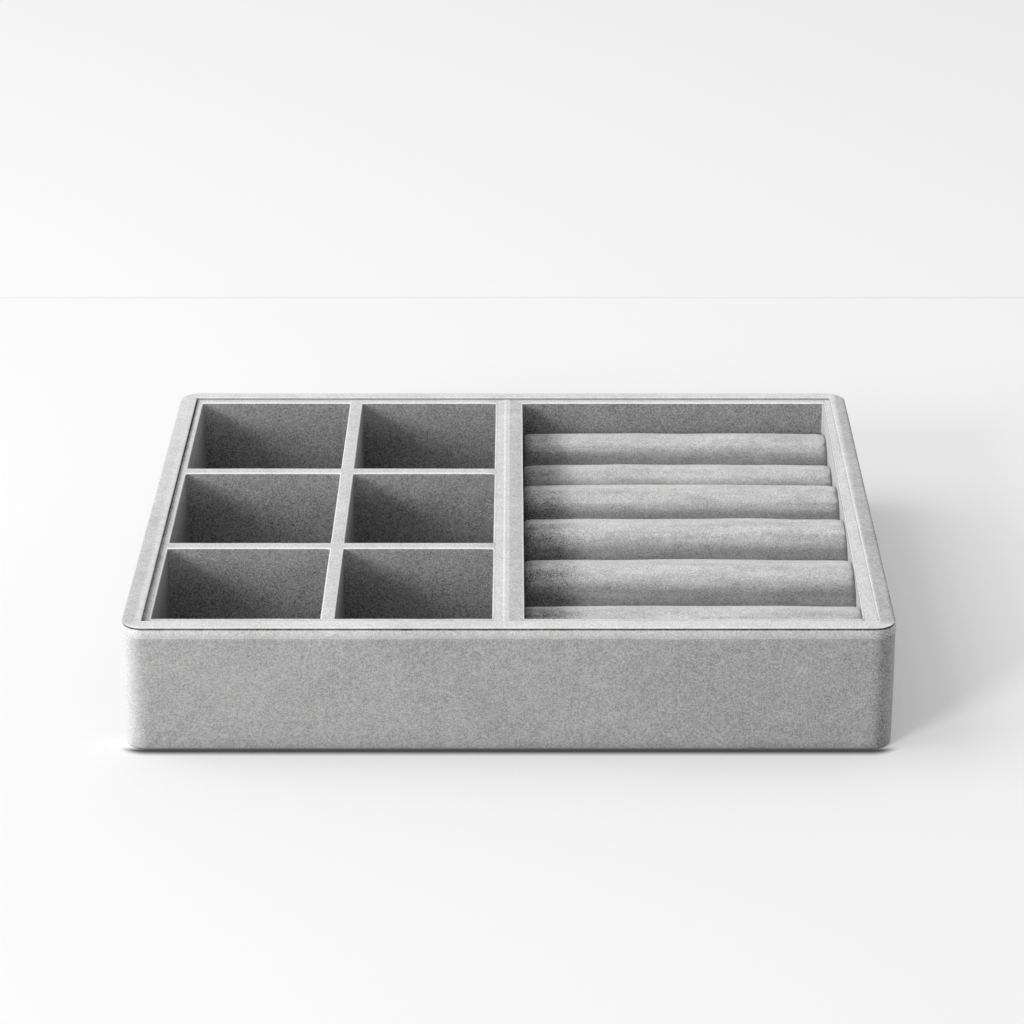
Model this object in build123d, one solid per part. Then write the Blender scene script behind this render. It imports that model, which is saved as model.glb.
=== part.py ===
"""Suede-covered jewelry tray: a wrapped case and a lift-out insert with compartments and ring rolls.

Lengths are in millimetres. X runs from left to right, Y from front to back and Z up, and the origin is
the middle of the underside.
"""

import os

from build123d import *

# Overall size of the case
case_length = 250.0
case_depth = 210.0
case_height = 43.8
corner_radius = 7.5

# Suede and lining sheets
wrap_thickness = 0.8
lining_thickness = 0.6
cover_thickness = 0.5
sleeve_thickness = 0.8
base_cover_thickness = 0.4

# Case boards
wall_board_thickness = 4.2
base_board_thickness = 3.4
base_rebate = 2.0
bottom_edge_radius = 1.0
base_cover_inset = 1.4

# Rolled edge and rim on top of the walls
rolled_edge_height = 3.4
rolled_edge_proud = 0.3
rolled_edge_rounding = 0.7
rim_thickness = 0.8
rim_inset = 0.45
rim_rounding = 0.35

# Insert: its play inside the case and its own boards
insert_gap_left = 0.55
insert_gap_right = 0.2
insert_gap_front = 0.35
insert_gap_back = 0.7
insert_recess = 0.6
insert_corner_radius = 1.2
insert_floor_thickness = 2.0
insert_floor_lining_thickness = 0.4
frame_board_thickness = 1.6
cover_rounding = 0.45

# Compartments
left_column_width = 55.2
right_column_width = 50.7
front_row_length = 56.5
middle_row_length = 61.8
divider_board_thickness = 3.6
main_divider_board_thickness = 8.7
main_seam_share = 0.56
pad_thickness = 2.4
pad_clearance = 0.4
pad_corner_radius = 2.0
pad_edge_rounding = 0.8

# Ring rolls, from back to front: each radius as a share of the ring section's length
roll_radius_shares = [0.0776, 0.0732, 0.0849, 0.088, 0.0886, 0.0844]
roll_slots = [0.3, 0.3, 2.0, 2.9, 4.3, 3.1]
roll_side_flat = 1.2
roll_seat_share = 0.92
roll_crown = 0.5
roll_end_rounding = 1.8
roll_end_clearance = 0.25


def block(x_low, x_high, y_low, y_high, z_low, z_high):
    """A plain box between its low and high corners."""
    size = (x_high - x_low, y_high - y_low, z_high - z_low)
    middle = ((x_low + x_high) / 2, (y_low + y_high) / 2, (z_low + z_high) / 2)
    return Pos(*middle) * Box(*size)


def rounded_block(x_low, x_high, y_low, y_high, z_low, z_high, radius):
    """A box with rounded upright corners."""
    outline = RectangleRounded(x_high - x_low, y_high - y_low, radius)
    place = Pos((x_low + x_high) / 2, (y_low + y_high) / 2, z_low)
    return place * extrude(outline, z_high - z_low)


def case_block(inset, z_low, z_high):
    """A rounded block as large as the case, less an inset all round."""
    x = case_length / 2 - inset
    y = case_depth / 2 - inset
    return rounded_block(-x, x, -y, y, z_low, z_high, corner_radius - inset)


def square_block(inset, z_low, z_high):
    """A square-cornered block as large as the case, less an inset all round."""
    x = case_length / 2 - inset
    y = case_depth / 2 - inset
    return block(-x, x, -y, y, z_low, z_high)


def round_edges(solid, axis_end, radius):
    """Rounds the edges at one end along Z: 0 for the lowest, -1 for the highest."""
    return fillet(solid.edges().group_by(Axis.Z)[axis_end], radius)


# Places that follow from the sizes above: the case
wrap_inset = rolled_edge_proud
board_inset = wrap_inset + wrap_thickness
cavity_inset = board_inset + wall_board_thickness
inside_inset = cavity_inset + lining_thickness
wrap_bottom = base_cover_thickness
board_bottom = wrap_bottom + wrap_thickness
base_top = wrap_bottom + base_board_thickness
inside_floor = base_top + lining_thickness
wall_top = case_height - rim_thickness
wrap_top = wall_top - rolled_edge_height
mitre_reach = 2 * cavity_inset

# The insert: its outline, its opening and its levels
insert_left = -case_length / 2 + inside_inset + insert_gap_left
insert_right = case_length / 2 - inside_inset - insert_gap_right
insert_front = -case_depth / 2 + inside_inset + insert_gap_front
insert_back = case_depth / 2 - inside_inset - insert_gap_back
insert_top = case_height - insert_recess
board_top = insert_top - cover_thickness
frame_foot = inside_floor + insert_floor_thickness
floor_level = frame_foot + insert_floor_lining_thickness
frame_thickness = frame_board_thickness + 2 * cover_thickness
opening_left = insert_left + frame_thickness
opening_right = insert_right - frame_thickness
opening_front = insert_front + frame_thickness
opening_back = insert_back - frame_thickness

# The dividers
divider_thickness = divider_board_thickness + 2 * cover_thickness
main_divider_thickness = main_divider_board_thickness + 2 * cover_thickness
long_left = opening_left + left_column_width
long_right = long_left + divider_thickness
main_left = long_right + right_column_width
main_right = main_left + main_divider_thickness
main_seam = main_left + main_seam_share * main_divider_thickness
cross_front = opening_front + front_row_length
cross_back = cross_front + divider_thickness + middle_row_length
halving_level = (floor_level + board_top) / 2


def mitred_wall(ring, outer_from, outer_to, inner_from, inner_to):
    """The stretch of the wall ring over the outline of its four corner points."""
    outline = make_face(Polyline(outer_from, outer_to, inner_to, inner_from, close=True))
    return ring & extrude(outline, case_height)


def make_case_boards():
    """Four wall boards, mitred at the corners, and the base board in their rebate."""
    ring = round_edges(case_block(board_inset, board_bottom, wall_top), 0, bottom_edge_radius - wrap_thickness)
    ring -= square_block(cavity_inset, board_bottom, wall_top)
    base = square_block(cavity_inset - base_rebate, wrap_bottom, base_top)
    ring -= base
    x = case_length / 2
    y = case_depth / 2
    near_x = x - mitre_reach
    near_y = y - mitre_reach
    outer = (-x, -y), (x, -y), (x, y), (-x, y)
    inner = (-near_x, -near_y), (near_x, -near_y), (near_x, near_y), (-near_x, near_y)
    sides = ["front", "right", "back", "left"]
    for number, side in enumerate(sides):
        following = (number + 1) % len(sides)
        wall = mitred_wall(ring, outer[number], outer[following], inner[number], inner[following])
        parts[f"{side}_wall_board"] = wall
    parts["base_board"] = base


def make_case_skins():
    """The wrap, the rolled edge, the rim, the linings and the sheet under the tray."""
    core = round_edges(
        case_block(board_inset, board_bottom, case_height), 0, bottom_edge_radius - wrap_thickness
    )
    wrap = round_edges(case_block(wrap_inset, wrap_bottom, wrap_top), 0, bottom_edge_radius)
    parts["outer_wrap"] = wrap - core - parts["base_board"]

    band = case_block(0, wrap_top, wall_top)
    band = round_edges(band, 0, rolled_edge_rounding)
    band = round_edges(band, -1, rolled_edge_rounding)
    parts["rolled_edge"] = band - case_block(board_inset, wrap_top, wall_top)

    rim = case_block(rim_inset, wall_top, case_height) - square_block(inside_inset, wall_top, case_height)
    parts["rim_trim"] = round_edges(rim, -1, rim_rounding)

    lining = square_block(cavity_inset, inside_floor, wall_top)
    parts["wall_lining"] = lining - square_block(inside_inset, inside_floor, wall_top)
    parts["floor_lining"] = square_block(cavity_inset, base_top, inside_floor)
    parts["base_cover"] = case_block(base_cover_inset, 0, base_cover_thickness)


def frame_block(inset, z_low, z_high):
    """A block as large as the insert, less an inset all round."""
    return block(
        insert_left + inset,
        insert_right - inset,
        insert_front + inset,
        insert_back - inset,
        z_low,
        z_high,
    )


def make_insert_frame():
    """The insert's floor, its four frame boards and the suede folded over them."""
    face = cover_thickness
    inner = cover_thickness + frame_board_thickness
    parts["insert_floor_board"] = frame_block(face, inside_floor, frame_foot)
    parts["insert_floor_lining"] = frame_block(inner, frame_foot, floor_level)

    left = insert_left + face
    right = insert_right - face
    front = insert_front + face
    back = insert_back - face
    deep_front = front + frame_board_thickness
    deep_back = back - frame_board_thickness
    parts["insert_front_board"] = block(left, right, front, deep_front, frame_foot, board_top)
    parts["insert_back_board"] = block(left, right, deep_back, back, frame_foot, board_top)
    deep_left = left + frame_board_thickness
    deep_right = right - frame_board_thickness
    parts["insert_left_board"] = block(left, deep_left, deep_front, deep_back, frame_foot, board_top)
    parts["insert_right_board"] = block(deep_right, right, deep_front, deep_back, frame_foot, board_top)

    cover = rounded_block(
        insert_left, insert_right, insert_front, insert_back, inside_floor, insert_top, insert_corner_radius
    )
    cover -= frame_block(face, inside_floor, board_top)
    skirt = frame_block(inner, floor_level, board_top)
    cover = cover + skirt - frame_block(frame_thickness, floor_level, insert_top)
    parts["frame_cover"] = round_edges(cover, -1, cover_rounding)


def folded_cover(x_low, x_high, y_low, y_high, along):
    """Suede folded over the top of a divider, hollow for the board that it covers."""
    cover = block(x_low, x_high, y_low, y_high, floor_level, insert_top)
    cover = fillet(cover.edges().group_by(Axis.Z)[-1].filter_by(along), cover_rounding)
    if along == Axis.Y:
        board = block(x_low + cover_thickness, x_high - cover_thickness, y_low, y_high, floor_level, board_top)
    else:
        board = block(x_low, x_high, y_low + cover_thickness, y_high - cover_thickness, floor_level, board_top)
    return cover - board


def make_main_divider():
    """The wide divider, whose two covers meet in a butt seam along its top."""
    parts["main_divider_board"] = block(
        main_left + cover_thickness,
        main_right - cover_thickness,
        opening_front,
        opening_back,
        floor_level,
        board_top,
    )
    cover = folded_cover(main_left, main_right, opening_front, opening_back, Axis.Y)
    left_of_seam = block(main_left, main_seam, opening_front, opening_back, floor_level, insert_top)
    parts["main_divider_cover_left"] = cover & left_of_seam
    parts["main_divider_cover_right"] = cover - left_of_seam


def make_divider_grid():
    """The long divider over two cross dividers, joined like an egg crate by halving slots."""
    long_board = block(
        long_left + cover_thickness,
        long_right - cover_thickness,
        opening_front,
        opening_back,
        floor_level,
        board_top,
    )
    long_cover = folded_cover(long_left, long_right, opening_front, opening_back, Axis.Y)
    columns = {"left": (opening_left, long_left), "right": (long_right, main_left)}
    for row, y_low in {"front": cross_front, "back": cross_back}.items():
        y_high = y_low + divider_thickness
        board = block(
            opening_left,
            main_left,
            y_low + cover_thickness,
            y_high - cover_thickness,
            floor_level,
            board_top,
        )
        board -= block(long_left, long_right, y_low, y_high, halving_level, board_top)
        parts[f"cross_divider_board_{row}"] = board
        slot = block(
            long_left,
            long_right,
            y_low + cover_thickness,
            y_high - cover_thickness,
            floor_level,
            halving_level,
        )
        long_board -= slot
        long_cover -= slot
        for column, (x_low, x_high) in columns.items():
            parts[f"cross_cover_{row}_{column}"] = folded_cover(x_low, x_high, y_low, y_high, Axis.X)
    parts["long_divider_board"] = long_board
    parts["long_divider_cover"] = long_cover


def make_floor_pads():
    """A thin pad on the floor of each compartment."""
    columns = {"left": (opening_left, long_left), "right": (long_right, main_left)}
    rows = {
        "front": (opening_front, cross_front),
        "middle": (cross_front + divider_thickness, cross_back),
        "back": (cross_back + divider_thickness, opening_back),
    }
    for row, (y_low, y_high) in rows.items():
        for column, (x_low, x_high) in columns.items():
            pad = rounded_block(
                x_low + pad_clearance,
                x_high - pad_clearance,
                y_low + pad_clearance,
                y_high - pad_clearance,
                floor_level,
                floor_level + pad_thickness,
                pad_corner_radius,
            )
            parts[f"floor_pad_{row}_{column}"] = round_edges(pad, -1, pad_edge_rounding)


def roll_form(radius, y_middle, skin):
    """A crowned roll, pressed flat at its sides and where it rests, less a skin all round."""
    x_low = main_right + roll_end_clearance + skin
    x_high = opening_right - roll_end_clearance - skin
    half_length = (x_high - x_low) / 2
    middle_radius = radius - skin
    end_radius = middle_radius - roll_crown
    ends = Polyline((-half_length, end_radius), (-half_length, 0), (half_length, 0), (half_length, end_radius))
    crown = ThreePointArc((half_length, end_radius), (0, middle_radius), (-half_length, end_radius))
    half_section = make_face([ends, crown])
    shoulders = half_section.vertices().group_by(Axis.Y)[-1]
    half_section = Plane.XZ * fillet(shoulders, roll_end_rounding - skin / 2)
    place = Pos((x_low + x_high) / 2, y_middle, floor_level + roll_seat_share * radius)
    roll = place * revolve(half_section, Axis.X)
    half_width = radius - roll_side_flat - skin
    return roll & block(
        x_low - roll_end_rounding,
        x_high + roll_end_rounding,
        y_middle - half_width,
        y_middle + half_width,
        floor_level + skin,
        floor_level + 2 * radius,
    )


def make_ring_rolls():
    """Foam rolls in suede sleeves, laid from the back of the ring section to its front."""
    edge = opening_back
    section_length = opening_back - opening_front
    for number, (share, slot) in enumerate(zip(roll_radius_shares, roll_slots), start=1):
        radius = share * section_length
        half_width = radius - roll_side_flat
        y_middle = edge - slot - half_width
        core = roll_form(radius, y_middle, sleeve_thickness)
        parts[f"ring_roll_core_{number}"] = core
        parts[f"ring_roll_sleeve_{number}"] = roll_form(radius, y_middle, 0) - core
        edge = y_middle - half_width


parts = {}
make_case_boards()
make_case_skins()
make_insert_frame()
make_main_divider()
make_divider_grid()
make_floor_pads()
make_ring_rolls()

os.makedirs("parts", exist_ok=True)
for name, solid in parts.items():
    export_step(solid, f"parts/{name}.step")
print(len(parts), "parts written")
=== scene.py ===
# %% [markdown]
# # A suede jewelry tray with ring rolls
# The tray is a wrapped case and an insert that lifts out of it. The CAD model fixes every size and place.
# This lesson dresses it: each cell takes one piece or one finish, says what it is on the real tray and
# how Blender can make it. All lengths are in metres, and MM turns millimetres into them.

# %% Load the frame
import math

import bmesh
import bpy
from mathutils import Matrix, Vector, noise


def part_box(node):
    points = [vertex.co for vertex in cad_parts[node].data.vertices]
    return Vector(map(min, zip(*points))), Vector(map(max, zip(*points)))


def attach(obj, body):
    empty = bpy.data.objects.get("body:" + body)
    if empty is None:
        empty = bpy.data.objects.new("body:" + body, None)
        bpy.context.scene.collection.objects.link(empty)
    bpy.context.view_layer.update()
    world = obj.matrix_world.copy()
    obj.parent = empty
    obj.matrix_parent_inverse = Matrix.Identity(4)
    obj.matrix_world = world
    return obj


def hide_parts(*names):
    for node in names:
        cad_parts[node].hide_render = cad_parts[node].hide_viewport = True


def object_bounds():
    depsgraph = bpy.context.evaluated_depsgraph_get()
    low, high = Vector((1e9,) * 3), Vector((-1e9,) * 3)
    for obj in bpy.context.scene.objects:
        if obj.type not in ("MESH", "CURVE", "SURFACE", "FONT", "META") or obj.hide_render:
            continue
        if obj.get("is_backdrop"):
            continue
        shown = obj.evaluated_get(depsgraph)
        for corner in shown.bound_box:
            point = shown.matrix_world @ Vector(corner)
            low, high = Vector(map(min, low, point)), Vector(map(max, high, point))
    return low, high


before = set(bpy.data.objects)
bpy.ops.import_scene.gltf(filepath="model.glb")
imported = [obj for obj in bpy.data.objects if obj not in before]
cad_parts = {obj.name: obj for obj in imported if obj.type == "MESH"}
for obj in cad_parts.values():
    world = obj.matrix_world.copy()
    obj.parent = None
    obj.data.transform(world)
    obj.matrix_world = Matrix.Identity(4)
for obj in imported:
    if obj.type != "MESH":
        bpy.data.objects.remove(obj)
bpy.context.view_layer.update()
MM = 0.001
scene = bpy.context.scene

# %% [markdown]
# ## The camera
# The photograph is taken from a little above the tray's front, with a long lens, so the upright edges
# stay nearly parallel. The place, the pitch and the lens come from fitting the corners of the tray in the
# picture. The picture's middle lies a little left of the lens axis, which a small shift gives.

# %% Camera
CAMERA_PLACE = (0.0089, -1.0859, 0.5016)
CAMERA_PITCH = math.radians(66.95)
LENS = 118.9
SENSOR_WIDTH = 36.0
SHIFT = -0.0236

camera_data = bpy.data.cameras.new("camera")
camera_data.lens = LENS
camera_data.sensor_width = SENSOR_WIDTH
camera_data.shift_x = SHIFT
camera = bpy.data.objects.new("camera", camera_data)
camera.location = CAMERA_PLACE
camera.rotation_euler = (CAMERA_PITCH, 0.0, 0.0)
scene.collection.objects.link(camera)
scene.camera = camera
print("camera looks down", round(90 - math.degrees(CAMERA_PITCH), 2), "degrees")

# %% [markdown]
# ## The lamps
# The picture's light comes from two places. A wide lamp high at the left lights the tops and gives the
# floor its soft shadow, which falls to the right and fades outwards: the lamp's size alone makes that
# soft edge. A small lamp low at the front left lights the front and draws the dark diagonals into the
# compartments. Both are area lamps that look at the tray, so one helper places them by angles and
# distance.


# %% Lamps
def soft_lamp(name, elevation, front, distance, size, power):
    """A square area lamp at the left that looks at the tray; its angles are in degrees."""
    lamp_data = bpy.data.lights.new(name, "AREA")
    lamp_data.shape = "SQUARE"
    lamp_data.size = size
    lamp_data.energy = power
    lamp = bpy.data.objects.new(name, lamp_data)
    level = math.cos(math.radians(elevation))
    across = -level * math.cos(math.radians(front))
    forwards = -level * math.sin(math.radians(front))
    to_lamp = Vector((across, forwards, math.sin(math.radians(elevation))))
    lamp.location = to_lamp * distance
    lamp.rotation_euler = to_lamp.to_track_quat("Z", "Y").to_euler()
    scene.collection.objects.link(lamp)
    print(name, "at", [round(v, 2) for v in lamp.location])


scene.view_settings.view_transform = "Standard"
soft_lamp("key_lamp", elevation=46, front=-3, distance=2.4, size=1.7, power=16.5)
soft_lamp("front_lamp", elevation=20, front=50, distance=2.4, size=0.6, power=23.0)

# %% [markdown]
# ## Tools for node trees
# The world, the materials and Geometry Nodes are all trees of nodes. A few small helpers keep their cells
# short. One adds a node and feeds its inputs, with a number or with what another node puts out. One adds
# a sum or product, one a soft step. One starts a tree of its own with named inputs and outputs.


# %% Node helpers
def feed(tree, node, values):
    """Sets inputs of a node by name or number, or joins them to a socket or to a node's first output."""
    for name, value in values.items():
        if isinstance(value, bpy.types.Node):
            value = value.outputs[0]
        if isinstance(value, bpy.types.NodeSocket):
            tree.links.new(value, node.inputs[name])
        else:
            node.inputs[name].default_value = value


def add(tree, kind, values=None, **settings):
    """Adds a node with its settings, and feeds its inputs."""
    node = tree.nodes.new(kind)
    for name, value in settings.items():
        setattr(node, name, value)
    feed(tree, node, values or {})
    return node


def calculate(tree, operation, *terms):
    """A math node; each term is a number, a socket or a node."""
    return add(tree, "ShaderNodeMath", dict(enumerate(terms)), operation=operation)


def soft_step(tree, value, start, finish, low=0.0, high=1.0):
    """A smooth change from low to high as the value goes from start to finish."""
    places = {"Value": value, "From Min": start, "From Max": finish, "To Min": low, "To Max": high}
    return add(tree, "ShaderNodeMapRange", places, interpolation_type="SMOOTHSTEP")


def start_tree(name, kind, inputs, outputs):
    """A tree and its given inputs; a socket is named with its number, or with its type in words."""
    tree = bpy.data.node_groups.new(name, kind)
    for direction, sockets in (("INPUT", inputs), ("OUTPUT", outputs)):
        for socket_name, value in sockets.items():
            in_words = isinstance(value, str)
            socket_type = "NodeSocket" + (value if in_words else "Float")
            socket = tree.interface.new_socket(
                name=socket_name, in_out=direction, socket_type=socket_type
            )
            if not in_words:
                socket.default_value = value
    return tree, add(tree, "NodeGroupInput").outputs


print("node helpers are ready for worlds, materials and Geometry Nodes")

# %% [markdown]
# ## The walls of the studio
# Pale walls all round fill the shadows. They are the world: an even light, weaker than what the camera
# sees there. So the background can be nearly white while the light on the tray stays plain, and Light
# Path tells the two apart. Glossy and transmission rays see the same white as the camera.

# %% World
FILL_STRENGTH = 0.655
WHITE = (1.0, 1.0, 1.0, 1.0)
SEEN_WALL = (0.91, 0.91, 0.91, 1.0)

world = bpy.data.worlds.new("studio")
scene.world = world
world.use_nodes = True
studio = world.node_tree
studio.nodes.clear()
rays = add(studio, "ShaderNodeLightPath").outputs
fill_light = add(studio, "ShaderNodeBackground", {"Color": WHITE, "Strength": FILL_STRENGTH})
seen_wall = add(studio, "ShaderNodeBackground", {"Color": SEEN_WALL})
either_ray = calculate(studio, "MAXIMUM", rays["Is Camera Ray"], rays["Is Glossy Ray"])
any_ray = calculate(studio, "MAXIMUM", either_ray, rays["Is Transmission Ray"])
walls = add(studio, "ShaderNodeMixShader", {"Fac": any_ray, 1: fill_light, 2: seen_wall})
add(studio, "ShaderNodeOutputWorld", {"Surface": walls})
print("world has", len(studio.nodes), "nodes")

# %% [markdown]
# ## Suede
# Suede is a cloth of very short, dense fibres. Two things make it look like suede. The nap lies unevenly,
# which gives soft clouds and small blotches. Single fibres give a fine speckle. Over that, light is
# painted on: tops get a lighter tone than sides, which is painted light, and folds get a painted
# highlight. The group below puts out the colour, the roughness and the height for all of that, from the
# piece's own coordinates and the way its surface faces. A piece can also carry an attribute that paints
# light and shade into its colour, and in a few places a lighter or darker tone. The soft bright rim that
# fibres show against the light is the sheen of the shader itself.


# %% Suede group
def grain(tree, size, detail, roughness, stretch=None):
    """A noise on the piece's own coordinates, with grains as large as the size says."""
    where = add(tree, "ShaderNodeTexCoord").outputs["Object"]
    if stretch:
        where = add(tree, "ShaderNodeMapping", {"Vector": where, "Scale": stretch})
    scale = calculate(tree, "DIVIDE", 1.0, size)
    texture = {"Vector": where, "Scale": scale, "Detail": detail, "Roughness": roughness}
    return add(tree, "ShaderNodeTexNoise", texture)


suede_group, suede_in = start_tree(
    "suede_nap_and_painted_light",
    "ShaderNodeTree",
    {
        "Side Tone": 0.4,
        "Painted Top Light Tone": 0.6,
        "Side Limit": 0.25,
        "Painted Fold Highlight": 0.15,
        "Cloud Size": 0.018,
        "Cloud Amount": 0.32,
        "Blotch Size": 0.0035,
        "Blotch Amount": 0.38,
        "Speckle Size": 0.0005,
        "Speckle Amount": 1.7,
        "Streak Amount": 0.0,
    },
    {"Color": "Color", "Roughness": "Float", "Height": "Float"},
)
LIES_LEVEL = 0.98
FOLD_START = 0.02
FOLD_FULL = 0.1
LIGHTEST = 0.96
ALONG_A_ROLL = (0.12, 1.0, 1.0)
TINT = {"Red": 1.0, "Green": 0.991, "Blue": 0.993}


def suede_noise(size, detail, roughness, stretch=None):
    """The suede's own grain, centred on zero."""
    texture = grain(suede_group, suede_in[size], detail, roughness, stretch)
    return calculate(suede_group, "SUBTRACT", texture, 0.5)


cloud = suede_noise("Cloud Size", 3.0, 0.55)
blotch = suede_noise("Blotch Size", 3.0, 0.6)
speckle = suede_noise("Speckle Size", 2.0, 0.7)
streak = suede_noise("Blotch Size", 2.0, 0.5, ALONG_A_ROLL)

# Painted light: surfaces that face up take the lighter top tone, the others the side tone.
facing = add(suede_group, "ShaderNodeNewGeometry").outputs["Normal"]
faces_up = add(suede_group, "ShaderNodeSeparateXYZ", {0: facing}).outputs["Z"]
painted_top_light = soft_step(suede_group, faces_up, suede_in["Side Limit"], LIES_LEVEL)
top_light_step = calculate(suede_group, "SUBTRACT", suede_in["Painted Top Light Tone"], suede_in["Side Tone"])
tone = calculate(suede_group, "MULTIPLY_ADD", top_light_step, painted_top_light, suede_in["Side Tone"])

# A painted highlight along the folds, where a surface leans between level and upright.
up_square = calculate(suede_group, "POWER", faces_up, 2.0)
side_square = calculate(suede_group, "SUBTRACT", 1.0, up_square)
lean = calculate(suede_group, "MULTIPLY", up_square, side_square)
fold_range = {"Value": lean, "From Min": FOLD_START, "From Max": FOLD_FULL}
painted_fold_highlight = add(suede_group, "ShaderNodeMapRange", fold_range)
tone = calculate(suede_group, "MULTIPLY_ADD", painted_fold_highlight, suede_in["Painted Fold Highlight"], tone)

# An attribute paints light and shade into the colour, and in a few places a lighter or darker tone.
painted_shading_and_tone = add(suede_group, "ShaderNodeAttribute", attribute_name="painted_shading_and_tone").outputs["Fac"]
variation = calculate(suede_group, "ADD", 1.0, painted_shading_and_tone)
for value, amount in (
    (cloud, "Cloud Amount"),
    (blotch, "Blotch Amount"),
    (speckle, "Speckle Amount"),
    (streak, "Streak Amount"),
):
    variation = calculate(suede_group, "MULTIPLY_ADD", value, suede_in[amount], variation)
tone = calculate(suede_group, "MULTIPLY", tone, variation)
tone = calculate(suede_group, "MINIMUM", tone, LIGHTEST)
channels = {name: calculate(suede_group, "MULTIPLY", tone, share) for name, share in TINT.items()}
add(
    suede_group,
    "NodeGroupOutput",
    {
        "Color": add(suede_group, "ShaderNodeCombineColor", channels),
        "Roughness": calculate(suede_group, "MULTIPLY_ADD", blotch, 0.2, 0.86),
        "Height": calculate(suede_group, "MULTIPLY_ADD", blotch, 0.6, speckle),
    },
)
print("suede group has", len(suede_group.nodes), "nodes")

# %% [markdown]
# ## The suedes of the tray
# One maker's cloth looks different from piece to piece, by how it is stretched, rubbed and lit. So each
# place gets a material of its own from the one group: the sides, the rolled edge, the rim, the tops of the
# insert, the walls inside its compartments, the rolls, the pads and the linings. Only their tones and
# grain differ. The rolled edge's lighter tone is painted light, and the compartments' darker tone is
# painted shade.


# %% Suede materials
def start_material(name, values):
    """A material, its tree and its shader, whose plain inputs are set."""
    material = bpy.data.materials.new(name)
    material.use_nodes = True
    tree = material.node_tree
    shader = tree.nodes["Principled BSDF"]
    feed(tree, shader, values)
    return material, tree, shader


def make_suede(name, nap_height, sheen, values):
    """A suede: the group's colour, roughness and height on one shader with its own sheen."""
    plain = {"Specular IOR Level": 0.12, "Sheen Weight": sheen, "Sheen Roughness": 0.45}
    material, tree, shader = start_material(name, plain)
    group = add(tree, "ShaderNodeGroup", values, node_tree=suede_group).outputs
    nap_bump = {"Strength": 0.6, "Distance": nap_height, "Height": group["Height"]}
    bump = add(tree, "ShaderNodeBump", nap_bump)
    feed(tree, shader, {"Base Color": group["Color"], "Roughness": group["Roughness"], "Normal": bump})
    print(name, "with sheen", sheen)
    return material


side_suede = make_suede(
    "side_suede", 0.3 * MM, 0.35, {"Side Tone": 0.35, "Painted Top Light Tone": 0.4, "Painted Fold Highlight": 0.05}
)
# A lighter copy of the side suede: painted light on the rolled edge.
edge_suede_painted_light = make_suede(
    "edge_suede_painted_light",
    0.3 * MM,
    0.45,
    {"Side Tone": 0.54, "Painted Top Light Tone": 0.58, "Painted Fold Highlight": 0.03, "Speckle Amount": 1.3},
)
rim_suede = make_suede(
    "rim_suede",
    0.15 * MM,
    0.45,
    {
        "Side Tone": 0.55,
        "Painted Top Light Tone": 0.71,
        "Painted Fold Highlight": 0.1,
        "Speckle Amount": 1.1,
        "Blotch Amount": 0.3,
    },
)
insert_suede = make_suede(
    "insert_suede",
    0.2 * MM,
    0.6,
    {
        "Side Tone": 0.31,
        "Painted Top Light Tone": 0.62,
        "Painted Fold Highlight": 0.48,
        "Speckle Amount": 1.5,
        "Blotch Amount": 0.35,
    },
)
# A darker copy with little sheen: its darker tone is painted shade on the walls inside.
cell_suede_painted_shade = make_suede(
    "cell_suede_painted_shade",
    0.2 * MM,
    0.1,
    {"Side Tone": 0.29, "Painted Top Light Tone": 0.5, "Painted Fold Highlight": 0.0, "Speckle Amount": 2.6},
)
# Its low side tone, reached soon below the top, is painted shade on the rolls' lower fronts.
roll_suede = make_suede(
    "roll_suede",
    0.25 * MM,
    0.5,
    {
        "Side Tone": 0.245,
        "Painted Top Light Tone": 0.565,
        "Side Limit": 0.68,
        "Painted Fold Highlight": 0.0,
        "Streak Amount": 0.6,
        "Speckle Amount": 1.9,
        "Blotch Amount": 0.5,
        "Cloud Amount": 0.35,
    },
)
pad_suede = make_suede(
    "pad_suede", 0.2 * MM, 0.35, {"Side Tone": 0.3, "Painted Top Light Tone": 0.36, "Painted Fold Highlight": 0.1}
)
lining_suede = make_suede(
    "lining_suede", 0.15 * MM, 0.3, {"Side Tone": 0.3, "Painted Top Light Tone": 0.34, "Painted Fold Highlight": 0.05}
)

# %% [markdown]
# ## Board and paper
# Under the suede are boards of pressed grey fibre, and a sheet of dark paper covers the underside. Both
# show their fibres as short flecks that lie every way. A noise that is stretched one way and a second
# that is stretched the other way give such flecks.

# %% Fibre group and its materials
fibre_group, fibre_in = start_tree(
    "pressed_fibre",
    "ShaderNodeTree",
    {"Tone": "Color", "Fleck Size": 0.001, "Fleck Amount": 0.3},
    {"Color": "Color", "Height": "Float"},
)
BOTH_WAYS = ((0.2, 1.0, 1.0), (1.0, 0.2, 1.0))
USUAL_FLECK = 0.55
flecks = [grain(fibre_group, fibre_in["Fleck Size"], 3.0, 0.65, stretch) for stretch in BOTH_WAYS]
fleck = calculate(fibre_group, "MAXIMUM", *flecks)
stands_out = calculate(fibre_group, "SUBTRACT", fleck, USUAL_FLECK)
fleck_tone = calculate(fibre_group, "MULTIPLY_ADD", stands_out, fibre_in["Fleck Amount"], 1.0)
toned = {0: fibre_in["Tone"], "Scale": fleck_tone}
fibre_colour = add(fibre_group, "ShaderNodeVectorMath", toned, operation="SCALE")
add(fibre_group, "NodeGroupOutput", {"Color": fibre_colour, "Height": fleck})


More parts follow.
